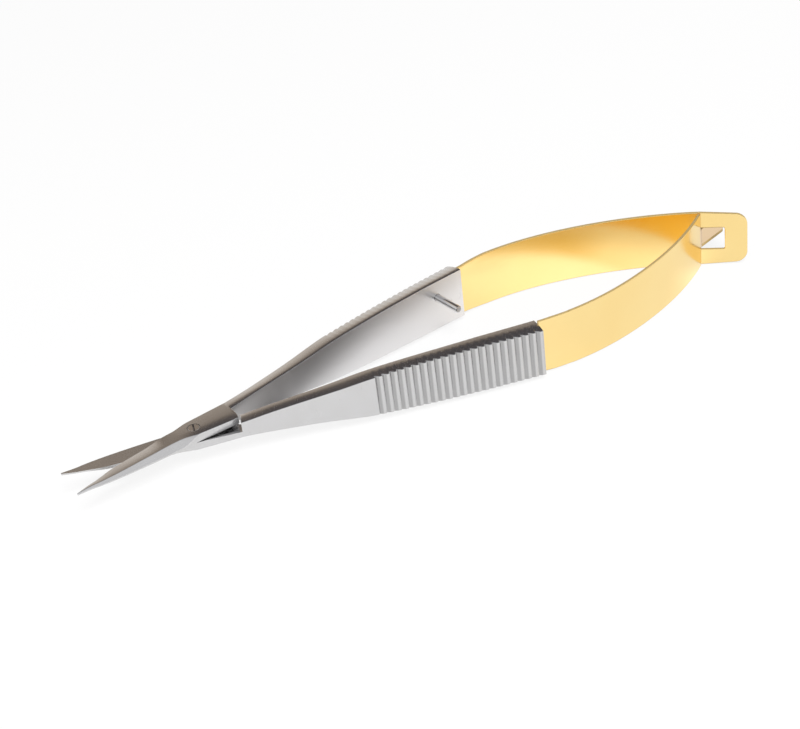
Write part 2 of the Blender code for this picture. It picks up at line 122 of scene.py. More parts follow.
def cutAway(piece, cutterMesh):
    # takes the cutter's room out of the piece, for good
    cutter = addPiece("cutter", cutterMesh)
    step = piece.modifiers.new("cut", "BOOLEAN")
    step.operation = "DIFFERENCE"
    step.solver = "EXACT"
    step.object = cutter
    bakeModifiers(piece)
    bpy.data.objects.remove(cutter, do_unlink=True)


def bakeModifiers(piece):
    bpy.context.view_layer.update()
    graph = bpy.context.evaluated_depsgraph_get()
    baked = bpy.data.meshes.new_from_object(piece.evaluated_get(graph))
    old = piece.data
    piece.modifiers.clear()
    piece.data = baked
    bpy.data.meshes.remove(old)


# edges that bend by more than this, in degrees, stay sharp
sharpAngles = {"arm": 32, "leaf": 35, "turned": 40}
largeFaceWeight = 90  # above 50, large faces rule the shading


def smoothShade(piece, kind):
    # smooth curves, flat faces kept flat by area-weighted normals
    piece.data.shade_smooth()
    piece.data.set_sharp_from_angle(angle=math.radians(sharpAngles[kind]))
    step = piece.modifiers.new("normals", "WEIGHTED_NORMAL")
    step.keep_sharp = True
    step.weight = largeFaceWeight
    bakeModifiers(piece)


def markFaces(mesh, name, worth):
    # writes worth(face) on every face, for the finish to read
    mark = mesh.attributes.new(name, "FLOAT", "FACE")
    for face in mesh.polygons:
        mark.data[face.index].value = worth(face)


# plan of one arm in its own closed frame: handle on the +Y side, blade towards -X
armPlan = {
    "bladeLength": 19.1,
    "bladeEdgeHalf": 1.65,
    "bladeSpineHalf": 1.8,
    "tipSet": 0.15,
    "tipWidth": 0.2,
    "tipThickness": 0.35,
    "spineShares": ((0.27, 0.97), (0.48, 0.83), (0.66, 0.66), (0.8, 0.46), (0.9, 0.25)),
    "edgeShares": ((0.16, 1.12), (0.4, 0.96), (0.66, 0.85), (0.8, 0.58), (0.9, 0.34)),
    "thicknessShares": ((0.0, 1.0), (0.2, 1.0), (0.42, 0.85), (0.66, 0.62), (0.9, 0.38)),
    "bossHalf": 1.9,
    "bossOuterHalf": 1.95,
    "earRadius": 6.4,
    "earHalf": 2.6,
    "shoulderRadius": 6.65,
    "handleLength": 51.4,
    "handleEnds": {"near": 51.4, "far": 50.6},
    "handleWidth": 7.7,
    "handleDrop": 0.1,
    "gripStart": 26.0,
    "gripEdge": 0.04,
    "innerFace": ((6.65, 0.12), (20.0, 0.63), (30.0, 1.0), (38.0, 1.26), (45.0, 1.33)),
    "outerFace": (
        (0.0, 1.95), (6.4, 2.12), (10.0, 2.19), (13.0, 2.35), (16.0, 2.56), (19.0, 2.82),
        (22.0, 3.12), (26.0, 3.4), (31.0, 3.64), (37.0, 3.96), (43.0, 4.26), (51.4, 4.65),
    ),
    "flareLength": 36.0,
    "flareShares": (
        (0.0, 0.0), (0.04, 0.05), (0.1, 0.14), (0.21, 0.285), (0.3, 0.4), (0.38, 0.52),
        (0.52, 0.75), (0.65, 0.86), (0.79, 0.935), (1.0, 1.0),
    ),
    "bladeRootShare": 0.01,
    "bladeSteps": 90,
    "bossSteps": 12,
    "earSteps": 24,
    "shankSteps": 70,
}

# finish of the arm's section: how much its edges are broken and its faces bow out
armSection = {
    "edgeRound": 0.1,
    "edgeBevel": 0.5,
    "spineBevel": 0.55,
    "spineLand": 0.2,
    "spineSlant": 0.52,
    "bevelBreak": 0.03,
    "bevelInset": 0.08,
    "innerRound": 0.06,
    "innerRoundFrom": 8.0,
    "ridgeShare": {
        "near": ((8.0, 0.35), (51.4, 0.5)),
        "far": ((-7.0, 0.06), (-4.0, 0.3), (8.0, 0.3), (14.0, 0.14), (51.4, 0.1)),
    },
    "innerDrop": {
        "near": (
            (-6.0, 0.0), (-1.0, 0.06), (4.0, 0.1), (6.65, 0.05), (9.0, 0.02), (26.0, 0.05),
            (51.4, 0.09),
        ),
        "far": ((-6.0, 0.0), (-1.0, 0.06), (4.0, 0.1), (6.65, 0.06), (9.0, 0.03), (51.4, 0.03)),
    },
    "outerDrop": {
        "near": ((-6.0, 0.0), (-1.0, 0.05), (6.65, 0.08), (12.0, 0.12), (51.4, 0.14)),
        "far": (
            (-19.1, 0.02), (-13.0, 0.1), (-7.5, 0.16), (-6.2, 0.12), (-4.8, 0.0),
            (-1.0, 0.05), (6.65, 0.1), (12.0, 0.17), (51.4, 0.2),
        ),
    },
    "innerRise": {
        "near": ((0.0, 0.0), (51.4, 0.0)),
        "far": ((22.0, 0.0), (38.0, 0.2), (45.0, 0.34), (51.4, 0.46)),
    },
    "cornerSteps": 5,
    "crownSteps": 10,
    "crownPower": 1.6,
}

# ribs over the outer face of the grip: depth below the crest, and painted shade on the slopes and in the grooves,
# along one pitch
ribs = {
    "count": 23,
    "depthAbove": 0.2,
    "depthBelow": 0.46,
    "shares": (
        (0.0, 1.0), (0.06, 1.0), (0.125, 0.93), (0.5, 0.2), (0.5625, 0.08), (0.625, 0.0),
        (0.875, 0.0), (0.9375, 0.12), (1.0, 1.0),
    ),
    "paintedShade": ((0.0, 0.1), (0.06, 0.15), (0.1, 0.44), (0.5, 0.44), (0.6, 0.0), (1.0, 0.0)),
    "steps": 16,
}


def innerFace(x):
    return smoothBetween(armPlan["innerFace"], x)


def earCorner():
    # where the straight side of the boss's ear meets its round end
    return math.sqrt(armPlan["earRadius"] ** 2 - armPlan["earHalf"] ** 2)


def lowSide(x):
    # blade's spine, boss's ear with its round end, then the handle's inner face
    p = armPlan
    if x >= p["shoulderRadius"]:
        return innerFace(x)
    if x >= 0:
        corner = earCorner()
        if x <= corner:
            return -straightBetween(((0.0, p["bossHalf"]), (corner, p["earHalf"])), x)
        if x < p["earRadius"]:
            return -math.sqrt(p["earRadius"] ** 2 - x**2)
        return straightBetween(((p["earRadius"], 0.0), (p["shoulderRadius"], innerFace(x))), x)
    tip = (1.0, (p["tipWidth"] / 2 + p["tipSet"]) / p["bladeSpineHalf"])
    boss = (0.0, p["bossHalf"] / p["bladeSpineHalf"])
    return -p["bladeSpineHalf"] * smoothBetween((boss, *p["spineShares"], tip), -x / p["bladeLength"])


def highSide(x):
    # cutting edge, boss, then the shank's outer face
    p = armPlan
    if x >= 0:
        return smoothBetween(p["outerFace"], x)
    tip = (1.0, (p["tipWidth"] / 2 - p["tipSet"]) / p["bladeEdgeHalf"])
    boss = (0.0, p["bossOuterHalf"] / p["bladeEdgeHalf"])
    return p["bladeEdgeHalf"] * smoothBetween((boss, *p["edgeShares"], tip), -x / p["bladeLength"])


def armHeight(x):
    # full height at x, and the share of its growth from the boss to the grip
    p = armPlan
    share = smoothBetween(p["flareShares"], (x - p["shoulderRadius"]) / p["flareLength"])
    return 2 * lapHeight + (p["handleWidth"] - 2 * lapHeight) * share, share


def bladeThickness(x):
    tip = (1.0, armPlan["tipThickness"] / lapHeight)
    return lapHeight * smoothBetween((*armPlan["thicknessShares"], tip), -x / armPlan["bladeLength"])


def roundCorner(side, level, inward, down, radius):
    # quarter round from the side face to the level face
    points = []
    for a in spread(0.0, math.pi / 2, armSection["cornerSteps"]):
        points.append((side + inward * radius * (1 - math.cos(a)), level + down * radius * (1 - math.sin(a))))
    return points


def bevelCorner(side, level, inward, wide, tall):
    # straight bevel with both of its borders slightly broken
    s = armSection
    broken = min(s["bevelBreak"], wide / 4)
    between = spread(s["bevelInset"], 1 - s["bevelInset"], s["cornerSteps"] - 2)
    points = [(side + inward * wide * t, level - tall * (1 - t)) for t in between]
    return [(side, level - tall - broken), *points, (side + inward * (wide + broken), level)]


def partWay(first, second, share):
    return [(a[0] + (b[0] - a[0]) * share, a[1] + (b[1] - a[1]) * share) for a, b in zip(first, second)]


def sectionRing(x, low, high, bottom, top, share, side, valley=(0.0, 0.0)):
    # points round one section; share runs from a plain corner (0) to the blade's bevels (1)
    s = armSection
    wide = high - low
    radius = min(s["edgeRound"], wide / 4)
    inner = straightBetween(((0.0, radius), (s["innerRoundFrom"], s["innerRound"])), x)
    innerDrop, outerDrop, rise = (smoothBetween(s[key][side], x) for key in ("innerDrop", "outerDrop", "innerRise"))
    bottomLow = roundCorner(low, bottom + innerDrop, 1, 1, inner)
    bottomHigh = roundCorner(high - valley[0], bottom + outerDrop, -1, 1, radius)
    topHigh = roundCorner(high - valley[1], top - outerDrop, -1, -1, radius)
    top += rise  # the far handle's top leans outwards
    topLow = roundCorner(low, top - innerDrop, 1, -1, inner)
    if share > 0:
        third = wide / 3
        edge = bevelCorner(high, top - outerDrop, -1, min(s["edgeBevel"], third), top)
        tall = max(top - s["spineLand"], top / 2)
        spine = bevelCorner(low, top, 1, min(s["spineBevel"], third, s["spineSlant"] * tall), tall)
        topHigh, topLow = partWay(topHigh, edge, share), partWay(topLow, spine, share)
    points = bottomLow + crownPoints(x, bottomLow[-1], bottomHigh[-1], bottom, side)
    points += bottomHigh[::-1] + topHigh
    points += crownPoints(x, topLow[-1], topHigh[-1], top, side)[::-1] + topLow[::-1]
    return [(x, y, z) for y, z in points]


def crownPoints(x, inner, outer, level, side):
    # the face between two corners rises to a soft ridge, nearer to the inner side
    steps = armSection["crownSteps"]
    ridge = smoothBetween(armSection["ridgeShare"][side], x)
    points = []
    for i in range(1, steps):
        t = i / steps
        corner = inner[1] if t < ridge else outer[1]
        far = (ridge - t) / ridge if t < ridge else (t - ridge) / (1 - ridge)
        height = level + (corner - level) * far ** armSection["crownPower"]
        points.append((inner[0] + (outer[0] - inner[0]) * t, height))
    return points


def bladeRing(x, side):
    low, high, top = lowSide(x), highSide(x), bladeThickness(x)
    share = min(1.0, -x / (armPlan["bladeLength"] * armPlan["edgeShares"][0][0]))
    share = share * share * (3 - 2 * share)
    return sectionRing(x, low, high, -lapHeight, top, share, side)


def bodyRing(x, drop, side, valley=(0.0, 0.0)):
    height, share = armHeight(x)
    middle = -drop * share
    return sectionRing(x, lowSide(x), highSide(x), middle - height / 2, middle + height / 2, 0.0, side, valley)


def gripRings(drop, end, side):
    start, steps = armPlan["gripStart"], ribs["steps"]
    rings = []
    pitch = (end - start) / ribs["count"]
    for rib in range(ribs["count"]):
        for i in range(steps):
            x = start + pitch * (rib + i / steps)
            depth = straightBetween(ribs["shares"], i / steps)
            rings.append(bodyRing(x, drop, side, (ribs["depthBelow"] * depth, ribs["depthAbove"] * depth)))
    rings.append(bodyRing(end, drop, side))
    return rings


def armMesh(name, drop, side):
    p = armPlan
    tip, root = -p["bladeLength"], -p["bladeLength"] * p["bladeRootShare"]
    rings = [bladeRing(x, side) for x in spread(tip, root, p["bladeSteps"])]
    corner = earCorner()
    stations = spread(0.0, corner, p["bossSteps"])[:-1]
    start = math.atan2(p["earHalf"], corner)
    stations += [p["earRadius"] * math.cos(start * (1 - i / p["earSteps"])) for i in range(p["earSteps"] + 1)]
    stations += spread(p["shoulderRadius"], p["gripStart"] - p["gripEdge"], p["shankSteps"])
    rings += [bodyRing(x, drop, side) for x in stations]
    return closedMesh(name, rings + gripRings(drop, p["handleEnds"][side], side))


# room milled off each arm at the lap, a little hollow behind the pivot so the arms part there
lapCut = {
    "gap": 0.05,
    "hollowFrom": 0.9,
    "hollowTo": 6.4,
    "hollow": 0.26,
    "edgeBreak": 0.07,
    "reach": 1.8,
    "arc": (2, 88.5),  # part of the round end, in degrees
    "arcSteps": 60,
}


def lapCutter():
    c = lapCut
    radius = armPlan["shoulderRadius"]
    first, last = (math.radians(turn) for turn in c["arc"])
    stations = [(-armPlan["bladeLength"] - overrun, radius), (0.0, radius)]
    stations += [(radius * math.sin(a), radius * math.cos(a)) for a in spread(first, last, c["arcSteps"])]
    grown, bottom = 1 + c["reach"] / radius, c["edgeBreak"] - lapHeight
    rings = []
    for x, half in stations:
        raised = c["gap"] + c["hollow"] * max(0.0, (x - c["hollowFrom"]) / (c["hollowTo"] - c["hollowFrom"]))
        levels = ((1.0, raised), (1.0, bottom), (grown, bottom - c["reach"]))
        sides = [[(x * g if x > 0 else x, side * half * g, z) for g, z in levels] for side in (-1, 1)]
        rings.append(sides[0] + sides[1][::-1])
    return closedMesh("lapCutter", rings)


# what the arm is bored and slotted for: screw, stop pin, spring root and its two flush pins
armHoles = {
    "screwHead": 0.94,
    "screwShank": 0.64,
    "screwSeat": 0.75,
    "screwOpen": 3,
    "threadRadius": 0.61,
    "threadDepth": 0.94,
    "screwSegments": 64,
    "pinStations": (47.8, 49.7),
    "pinRadius": 0.506,
    "pinDepth": 2.36,
    "stopStation": 45.7,
    "stopHeight": 1.5,
    "stopRadius": 0.6,
    "stopDepth": 2.03,
    "stopHoleRadius": 0.86,
    "stopHoleDepth": 2.45,
    "boreSegments": 48,
    "pocketLength": 4.7,
    "pocketHalf": 0.35,
    "pocketHigh": 3.3,
    "leafSetback": 1.25,
}


def boreInnerFace(arm, station, height, radius, depth):
    mesh = turnedMesh("bore", ((radius, -overrun), (radius, depth)), armHoles["boreSegments"])
    place = Matrix.Translation((station, innerFace(station), height))
    mesh.transform(place @ Matrix.Rotation(math.radians(-90), 4, "X"))
    cutAway(arm, mesh)


def pocketCutter(drop):
    h = armHoles
    end = armPlan["handleLength"]
    middle = innerFace(end) + h["leafSetback"]
    rings = []
    for x in (end - h["pocketLength"], end + overrun):
        ring = []
        for y, z in ((-1, -1), (1, -1), (1, 1), (-1, 1)):
            ring.append((x, middle + y * h["pocketHalf"], -drop + z * h["pocketHigh"]))
        rings.append(ring)
    return closedMesh("pocket", rings)


def makeArm(name, drop, side):
    h = armHoles
    arm = addPiece(name, armMesh(name, drop, side))
    cutAway(arm, lapCutter())
    cutAway(arm, pocketCutter(drop))
    for station in h["pinStations"]:
        boreInnerFace(arm, station, -drop, h["pinRadius"], h["pinDepth"])
    if side == "far":
        boreInnerFace(arm, h["stopStation"], h["stopHeight"] - drop, h["stopRadius"], h["stopDepth"])
        profile = (
            (h["screwShank"], -overrun), (h["screwShank"], h["screwSeat"]),
            (h["screwHead"], h["screwSeat"]), (h["screwHead"], h["screwOpen"]),
        )
    else:
        boreInnerFace(arm, h["stopStation"], -h["stopHeight"] - drop, h["stopHoleRadius"], h["stopHoleDepth"])
        profile = ((h["threadRadius"], -h["threadDepth"]), (h["threadRadius"], overrun))
    bore = turnedMesh("screwBore", profile, h["screwSegments"])
    if side == "near":
        bore.transform(Matrix.Rotation(math.pi, 4, "X"))
    cutAway(arm, bore)
    return arm


# where the arm's finish and its painted light and shade change: the face turned to the other arm, and the ribs
armMarks = {
    "innerFacing": -0.8,
    # painted shade on the inner face along the arm: all over on the near arm, near the boss on the far arm
    "innerPaintedShade": {
        "near": ((0.0, 1.0), (51.4, 1.0)),
        "far": ((7.0, 0.5), (10.0, 0.47), (12.5, 0.4), (17.0, 0.0)),
    },
    "ribMargin": 0.02,
    "ribFacing": 0.5,
}


def markArm(mesh, side):
    # painted shade: the near arm's inner face is painted dark all over, the far arm's inner face is painted darker
    # towards its start by the boss, and the rib slopes and grooves are painted dark; painted light: the far arm's
    # inner face is painted brighter, and is rougher as a finely ground face
    m = armMarks
    start, end = armPlan["gripStart"], armPlan["handleEnds"][side]
    pitch = (end - start) / ribs["count"]

    def isInner(face):
        return face.normal.y < m["innerFacing"] and face.center.x > armPlan["shoulderRadius"]

    # painted shade on the inner faces and on the rib slopes and grooves
    def paintedShade(face):
        x, y = face.center.x, face.center.y
        if isInner(face):
            return smoothBetween(m["innerPaintedShade"][side], x)
        outside = start <= x <= end and y > highSide(x) - ribs["depthBelow"] - m["ribMargin"]
        if outside and abs(face.normal.z) < m["ribFacing"]:
            return straightBetween(ribs["paintedShade"], (x - start) / pitch % 1.0)
        return 0.0

    # painted light: the far arm's inner face is painted brighter, and it is also rougher
    markFaces(mesh, "innerPaintedLight", lambda face: 1.0 if side == "far" and isInner(face) else 0.0)
    markFaces(mesh, "paintedShade", paintedShade)


def armPlace(side):
    # from an arm's own closed frame in millimetres to its place at rest in metres
    lap = Matrix.Translation((0, 0, lapHeight * millimetre))
    turn = Matrix.Rotation(restHalfAngle, 4, "Z")
    if side == "near":
        turn = Matrix.Rotation(-restHalfAngle, 4, "Z") @ Matrix.Rotation(math.pi, 4, "X")
    return lap @ turn @ Matrix.Scale(millimetre, 4)


def placeMesh(piece, place):
    piece.data.transform(place)
    piece.data.update()


# pivot screw with a slot across its head
screw = {
    "headRadius": 0.88,
    "top": 1.275,
    "under": 0.8,
    "edge": 0.06,
    "edgeStart": 0.3,  # in radians
    "edgeSteps": 4,
    "shankRadius": 0.6,
    "shankEnd": -0.9,
    "slotWidth": 0.26,
    "slotDepth": 0.4,
    "slotTurn": -17,
    "slotMargin": 0.01,
    # share of the slot's painted shade that the head's rim gets
    "rimPaintedShade": 0.6,
    "segments": 96,
}


def makeScrew():
    s = screw
    edge, radius, top, shank = s["edge"], s["headRadius"], s["top"], s["shankRadius"]
    profile = [(shank, s["shankEnd"]), (shank, s["under"]), (radius, s["under"]), (radius, top - edge)]
    for a in spread(s["edgeStart"], math.pi / 2, s["edgeSteps"]):
        profile.append((radius - edge * (1 - math.cos(a)), top - edge * (1 - math.sin(a))))
    piece = addPiece("pivotScrew", turnedMesh("pivotScrew", profile, s["segments"]))
    half, long = s["slotWidth"] / 2, radius + overrun
    outline = ((-half, -long), (half, -long), (half, long), (-half, long))
    slot = closedMesh("slot", [[(x, y, z) for x, y in outline] for z in (top - s["slotDepth"], top + overrun)])
    slot.transform(Matrix.Rotation(math.radians(s["slotTurn"]), 4, "Z"))
    cutAway(piece, slot)

    def edgesAndPaintedShade(face):
        # painted shade: the slot is painted dark, and so, less so, is the broken edge of the head; both are also
        # rougher and less metallic
        x, y, z = face.center
        if math.hypot(x, y) < radius - edge and top - s["slotDepth"] - s["slotMargin"] < z < top - edge:
            return 1.0
        return s["rimPaintedShade"] if math.hypot(x, y) > radius - edge and z > top - edge else 0.0

    markFaces(piece.data, "cutEdgeAndPaintedShade", edgesAndPaintedShade)
    smoothShade(piece, "turned")
    return piece


# polished stop pin that stands on the far arm's inner face and leans a little
stopPin = {
    "radius": 0.56,
    "reach": 5.0,
    "seat": 2.0,
    "dome": 0.16,
    "domeSteps": 6,
    "endRadii": (0.2, 0.05),
    "lean": 2.5,
    "segments": 64,
}


def makeStopPin(drop):
    s = stopPin
    radius, reach, dome = s["radius"], s["reach"], s["dome"]
    profile = [(radius, -s["seat"])]
    for a in spread(0, math.pi / 2, s["domeSteps"]):
        profile.append((radius - dome * (1 - math.cos(a)), reach - dome * (1 - math.sin(a))))
    profile += [(small, reach) for small in s["endRadii"]]
    mesh = turnedMesh("stopPin", profile, s["segments"])
    piece = addPiece("stopPin", mesh)
    station = armHoles["stopStation"]
    place = Matrix.Translation((station, innerFace(station), armHoles["stopHeight"] - drop))
    mesh.transform(place @ Matrix.Rotation(math.radians(90 + s["lean"]), 4, "X"))
    smoothShade(piece, "turned")
    return piece


# one spring leaf in plan, from its root in the handle to the crossing at the back
leafShape = {
    "root": (50.30745, 10.85252),
    "reach": 37.7,
    "rootAngle": 11.8,
    "crossingAngle": 38.0,
    "rootPull": 12.6,
    "endPull": 11.5,
    "thickness": 0.5,
    "rootWidth": 8.8,
    "endWidth": 9.3,
    "edgeRound": 0.2,
    "edgeSteps": 4,
    "rootFlare": {"near": ((0.0, 8.6), (2.2, 8.8)), "far": ((0.0, 8.1), (2.2, 8.5), (5.0, 8.9))},
    "flareReach": 5,
    "rootStart": {"near": 0.03, "far": -0.77},
    "rootStep": 0.03,
    "rootClear": 0.2,
    "tangLength": 4.6,
    "tangWidth": 6.4,
    "tangHole": 0.53,
    "tangHoleSegments": 32,
    "stations": 110,
}

# the ends: a plate with a window on the far leaf, a tongue on the near leaf
leafEnds = {
    "plateLength": 7.3,
    "plateEndWidth": 8.4,
    "plateCorner": 1.8,
    "plateSteps": 8,
    "plateCornerSteps": 16,
    "windowFront": 1.4,
    "windowRear": 3.8,
    "windowHeight": 3.7,
    "windowCorner": 0.25,
    "windowCornerSteps": 4,
    "windowRound": 0.22,
    "windowSteps": 6,
    "windowPast": 0.01,
    "tongueHeight": 3.3,
    "tongueShoulder": 0.7,
    "shoulderRounds": ((-0.06, 0.0), (0.0, 0.1)),
    "shoulderClear": 0.12,
    "shoulderStep": 0.05,
    "tongueStart": 0.3,
    "tongueLength": 6.1,
    "tongueAngle": 19.0,
    "tongueCorner": 0.2,
    "tongueSteps": 5,
    "tongueCornerSteps": 10,
    "tongueBand": 0.4,
}


def heading(degrees):
    return Vector((math.cos(math.radians(degrees)), math.sin(math.radians(degrees))))


def leafLine():
    # points and headings along the middle of the leaf
    s = leafShape
    start = Vector(s["root"])
    end = Vector((start.x + s["reach"], 0.0))
    second = start + heading(s["rootAngle"]) * s["rootPull"]
    third = end - heading(-s["crossingAngle"]) * s["endPull"]
    line = []
    for i in range(s["stations"] + 1):
        t = i / s["stations"]
        u = 1 - t
        point = start * u**3 + second * 3 * t * u**2 + third * 3 * t**2 * u + end * t**3
        along = (second - start) * u**2 + (third - second) * 2 * t * u + (end - third) * t**2
        line.append((point, along.normalized()))
    return line


def leafRing(point, along, width):
    # section of the strip with broken edges, and one more point on the tongue's lower band
    s = leafShape
    across = Vector((-along.y, along.x))
    radius, steps = s["edgeRound"], s["edgeSteps"]
    halfThick, halfWide = s["thickness"] / 2 - radius, width / 2 - radius
    ring = []
    for corner, (a, b) in enumerate(((1, 1), (-1, 1), (-1, -1), (1, -1))):
        for i in range(steps + 1):
            turn = math.pi / 2 * (corner + i / steps)
            flat = point + across * (a * halfThick + radius * math.cos(turn))
            ring.append((flat.x, flat.y, b * halfWide + radius * math.sin(turn)))
    flat = point + across * (halfThick + radius)
    ring.append((flat.x, flat.y, halfWide - leafEnds["tongueBand"]))
    return ring


def rootRings(side):
    # the narrow tang in the handle's pocket, then the full strip just outside
    s = leafShape
    along = heading(restAngle)
    root, start = Vector(s["root"]), s["rootStart"][side]
    return [
        leafRing(root - along * s["tangLength"], along, s["tangWidth"]),
        leafRing(root + along * start, along, s["tangWidth"]),
        leafRing(root + along * (start + s["rootStep"]), along, s["rootFlare"][side][0][1]),
    ]


def stripRings(line, clearEnd, side):
    s = leafShape
    rings = []
    for i, (point, along) in enumerate(line):
        gone = (point - line[0][0]).length
        if gone < s["rootClear"] or (point - line[-1][0]).length < clearEnd:
            continue
        wide = s["rootWidth"] + (s["endWidth"] - s["rootWidth"]) * i / s["stations"]
        if gone < s["flareReach"]:
            wide = min(wide, smoothBetween(s["rootFlare"][side], gone))
        rings.append(leafRing(point, along, wide))
    return rings


def farLeafMesh():
    e = leafEnds
    line = leafLine()
    end, along = line[-1]
    rings = rootRings("far") + stripRings(line, 0.0, "far")
    wide, narrow, corner, length = leafShape["endWidth"], e["plateEndWidth"], e["plateCorner"], e["plateLength"]
    for s in spread(0.0, length - corner, e["plateSteps"])[1:]:
        rings.append(leafRing(end + along * s, along, wide + (narrow - wide) * s / length))
    for a in spread(0.0, math.pi / 2, e["plateCornerSteps"])[1:]:
        s = length - corner + corner * math.sin(a)
        full = wide + (narrow - wide) * s / length - 2 * corner * (1 - math.cos(a))
        rings.append(leafRing(end + along * s, along, full))
    return closedMesh("farLeaf", rings)


def nearLeafMesh():
    e = leafEnds
    line = leafLine()
    end, along = line[-1]
    shoulder = end - along * e["tongueShoulder"]
    high, corner, length = e["tongueHeight"], e["tongueCorner"], e["tongueLength"]
    rings = rootRings("near") + stripRings(line, e["tongueShoulder"] + e["shoulderClear"], "near")
    for further, less in e["shoulderRounds"]:
        rings.append(leafRing(shoulder + along * further, along, leafShape["endWidth"] - less))
    rings.append(leafRing(shoulder + along * e["shoulderStep"], along, high))
    bent = heading(-e["tongueAngle"])
    rings.append(leafRing(end, ((along + bent) / 2).normalized(), high))
    for s in spread(e["tongueStart"], length - corner, e["tongueSteps"]):
        rings.append(leafRing(end + bent * s, bent, high))
    for a in spread(0.0, math.pi / 2, e["tongueCornerSteps"])[1:]:
        s = length - corner + corner * math.sin(a)
        rings.append(leafRing(end + bent * s, bent, high - 2 * corner * (1 - math.cos(a))))
    return closedMesh("nearLeaf", rings)


def windowCutter():
    e = leafEnds
    end, along = leafLine()[-1]
    across = Vector((-along.y, along.x))
    half, rim, face = e["windowHeight"] / 2, e["windowRound"], leafShape["thickness"] / 2
    past, steps, turns = e["windowPast"], e["windowSteps"], e["windowCornerSteps"]
    depths = [-face - past + rim * i / steps for i in range(steps + 1)]
    depths += [face + past - rim * (1 - i / steps) for i in range(steps + 1)]
    rings = []
    for t in [-1.0, *depths, 1.0]:
        # the rim is rounded, so the cutter widens towards both faces of the plate
        near = min(1.0, max(0.0, (abs(t) - face + rim) / rim))
        grown = rim * (1 - math.sqrt(max(0.0, 1 - near * near))) + max(0.0, abs(t) - face - past)
        corner = e["windowCorner"] + grown
        ring = []
        for start, (signS, signZ) in enumerate(((1, 1), (-1, 1), (-1, -1), (1, -1))):
            reach = (e["windowRear"] if signS > 0 else e["windowFront"]) + grown - corner
            for i in range(turns + 1):
                turn = math.pi / 2 * (start + i / turns)
                flat = end + along * (signS * reach + corner * math.cos(turn)) + across * t
                ring.append((flat.x, flat.y, signZ * (half + grown - corner) + corner * math.sin(turn)))
        rings.append(ring)
    return closedMesh("window", rings)


# where the leaf's finish and its painted light change: inner side, and cut edges by how far a face looks up
leafMarks = {
    # how much of the painted reflection, a deeper gold, each leaf's inner side takes
    "paintedInnerReflection": {"near": 1.0, "far": 0.05},
    "innerFacing": -0.2,
    "edgeFacing": (-0.3, 0.75),
}


def markLeaf(mesh, side):
    # cut edges are rougher and darker than the rolled faces; the near leaf's inside is painted deeper gold as
    # painted reflection, and its tongue is painted duller, with a darker lower band, as painted shade
    m = leafMarks
    bend = leafShape["root"][0] + leafShape["reach"]
    band = leafEnds["tongueHeight"] / 2 - leafShape["edgeRound"] - leafEnds["tongueBand"]
    under, over = m["edgeFacing"]

    def onTongue(face):
        return side == "near" and face.center.x > bend - leafEnds["tongueShoulder"]

    # real cut edges, and the tongue's lower band painted dark as painted shade
    def edgesAndPaintedShade(face):
        up = -face.normal.z if side == "near" else face.normal.z
        # the tongue's lower band: painted shade
        withPaintedShade = onTongue(face) and face.center.x > bend and face.center.z > band and face.normal.y > 0
        return 1.0 if up > over or up < under or withPaintedShade else 0.0

    markFaces(mesh, "cutEdgeAndPaintedShade", edgesAndPaintedShade)
    markFaces(mesh, "innerPaintedLight", lambda face: m["paintedInnerReflection"][side] if face.normal.y < m["innerFacing"] else 0.0)
    markFaces(mesh, "paintedShade", lambda face: 1.0 if onTongue(face) else 0.0)


def makeLeaf(name, mesh, side):
    leaf = addPiece(name, mesh)
    if side == "far":
        cutAway(leaf, windowCutter())
    turn = Matrix.Rotation(restHalfAngle, 4, "Z")
    radius = leafShape["tangHole"]
    for station in armHoles["pinStations"]:
        # the tang is drilled for its flush pins
        spot = turn @ Vector((station, innerFace(station) + armHoles["leafSetback"], 0))
        hole = turnedMesh("tangHole", ((radius, -overrun), (radius, overrun)), leafShape["tangHoleSegments"])
        hole.transform(Matrix.Translation(spot) @ turn @ Matrix.Rotation(math.radians(-90), 4, "X"))
        cutAway(leaf, hole)
    smoothShade(leaf, "leaf")
    markLeaf(leaf.data, side)
    lift = Matrix.Translation((0, 0, (lapHeight - armPlan["handleDrop"]) * millimetre))
    flip = Matrix.Rotation(math.pi, 4, "X") if side == "near" else Matrix.Identity(4)
    placeMesh(leaf, lift @ flip @ Matrix.Scale(millimetre, 4))
    return leaf


def addNode(tree, kind, **values):
    node = tree.nodes.new(kind)
    for key, value in values.items():
        if key in node.inputs:
            node.inputs[key].default_value = value
        else:
            setattr(node, key, value)
    return node


def feed(tree, socket, value):
    # a socket takes another node's output, or a number or colour of its own
    if isinstance(value, bpy.types.NodeSocket):
        tree.links.new(value, socket)
    else:
        socket.default_value = value


def combine(tree, operation, *values):
    node = addNode(tree, "ShaderNodeMath", operation=operation)
    for socket, value in zip(node.inputs, values):
        feed(tree, socket, value)
    return node.outputs["Value"]


def alongAxis(tree, place, axis):
    node = addNode(tree, "ShaderNodeVectorMath", operation="DOT_PRODUCT")
    feed(tree, node.inputs[0], place)
    feed(tree, node.inputs[1], axis)
    return node.outputs["Value"]


def mapped(tree, value, limits, ends=(0.0, 1.0), kind="SMOOTHSTEP"):
    node = addNode(tree, "ShaderNodeMapRange", interpolation_type=kind)
    feed(tree, node.inputs["Value"], value)
    node.inputs["From Min"].default_value, node.inputs["From Max"].default_value = limits
    node.inputs["To Min"].default_value, node.inputs["To Max"].default_value = ends
    return node.outputs["Result"]


def mixed(tree, kind, amount, first, second, blend="MIX"):
    node = addNode(tree, "ShaderNodeMix", data_type=kind, blend_type=blend)
    feed(tree, node.inputs["Factor"], amount)
    feed(tree, node.inputs["A"], first)
    feed(tree, node.inputs["B"], second)
    return node.outputs["Result"]


